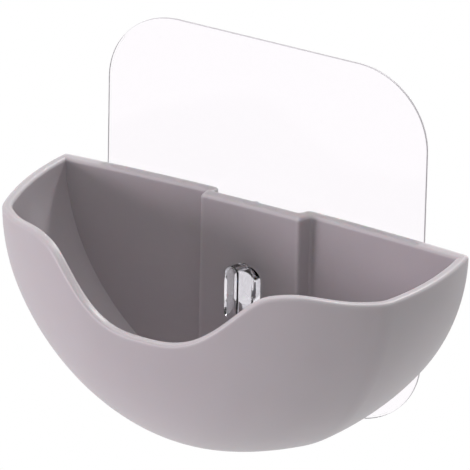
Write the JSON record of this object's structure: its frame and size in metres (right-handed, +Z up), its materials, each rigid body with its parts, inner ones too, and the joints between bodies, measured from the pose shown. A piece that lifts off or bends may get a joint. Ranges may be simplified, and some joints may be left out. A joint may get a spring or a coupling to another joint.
{
  "type": "wall soap dish",
  "caption": "Half-bowl wall soap dish with a waved rim, hung by a slot in its back panel on a clear hook that is bonded to a clear adhesive sheet.",
  "frame": {"origin": "middle of the adhesive layer's flat wall face", "axes": "+Y into the wall, -Y out of the wall towards the user, +X to the right seen from the front, +Z up"},
  "size_m": [0.1298, 0.0677, 0.1131],
  "materials": {
    "dish_plastic": "satin moulded, mauve grey",
    "clear_hook": "clear, polished mould",
    "clear_film": "clear, smooth",
    "clear_gel": "clear, tacky"
  },
  "bodies": {
    "wall_mount": {"carrier_sheet": "clear_film", "adhesive_layer": "clear_gel", "hook": "clear_hook"},
    "dish": {"dish": "dish_plastic"}
  },
  "joints": [
    {"name": "dish_lift", "type": "slide", "parent": "wall_mount", "child": "dish", "axis": [0, 0, 1], "range_m": [0, 0.0042]}
  ]
}
